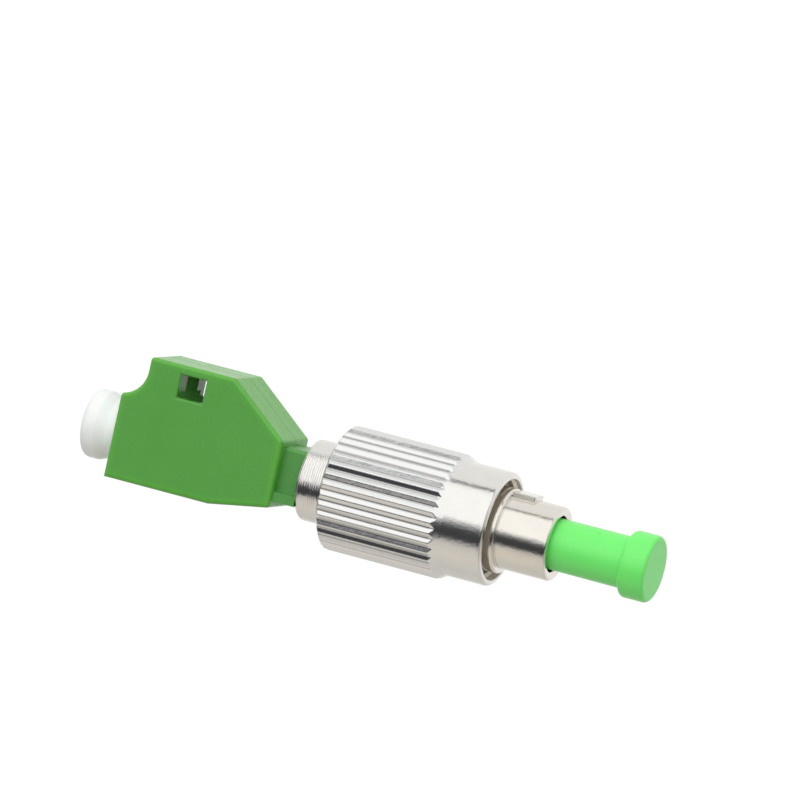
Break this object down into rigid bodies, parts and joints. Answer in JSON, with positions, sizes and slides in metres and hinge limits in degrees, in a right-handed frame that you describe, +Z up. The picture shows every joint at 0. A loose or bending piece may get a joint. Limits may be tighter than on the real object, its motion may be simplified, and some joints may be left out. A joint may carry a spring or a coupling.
{
  "type": "hybrid fiber adapter",
  "caption": "Inline fibre adapter with a small square port at one end and a keyed round plug with a knurled coupling nut at the other, both under dust caps.",
  "frame": {"origin": "on the fibre axis, in the plane of the square port's front face", "axes": "+X along the fibre from the port towards the keyed barrel, +Z up as the part lies at rest on its nut and on the hump's far edge; the hump points to +Y and a little down"},
  "size_m": [0.0488, 0.0121, 0.01],
  "materials": {
    "housing_green": "moulded satin",
    "cap_green": "soft satin",
    "cap_white": "soft satin",
    "nickel": "polished nickel plate with turning marks",
    "ceramic": "polished zirconia",
    "spring_steel": "drawn wire",
    "fibre_glass": "clear"
  },
  "bodies": {
    "adapter": {"near_housing_half": "housing_green", "far_housing_half": "housing_green", "sleeve_holder": "housing_green", "split_sleeve": "ceramic", "port_core": "housing_green", "rear_sleeve": "nickel", "keyed_barrel": "nickel", "stop_bush": "nickel", "ferrule_spring": "spring_steel"},
    "washer": {"slip_washer": "nickel"},
    "nut": {"coupling_nut": "nickel"},
    "ferrules": {"ferrule_holder": "nickel", "main_ferrule": "ceramic", "stub_ferrule": "ceramic", "fibre": "fibre_glass"},
    "port_cap": {"port_dust_cap": "cap_white"},
    "barrel_cap": {"barrel_dust_cap": "cap_green"}
  },
  "joints": [
    {"name": "nut_slide", "type": "slide", "parent": "adapter", "child": "washer", "axis": [1, 0, 0], "range_m": [0, 0.003]},
    {"name": "nut_spin", "type": "hinge", "parent": "washer", "child": "nut", "pos_m": [0.026, 0, 0], "axis": [1, 0, 0], "continuous": true},
    {"name": "ferrule_press", "type": "slide", "parent": "adapter", "child": "ferrules", "axis": [-1, 0, 0], "range_m": [0, 0.001], "stiffness_N_per_m": 3000, "deforming": ["ferrule_spring"]},
    {"name": "port_cap_pull", "type": "slide", "parent": "adapter", "child": "port_cap", "axis": [-1, 0, 0], "range_m": [0, 0.01]},
    {"name": "barrel_cap_pull", "type": "slide", "parent": "adapter", "child": "barrel_cap", "axis": [1, 0, 0], "range_m": [0, 0.02]}
  ]
}
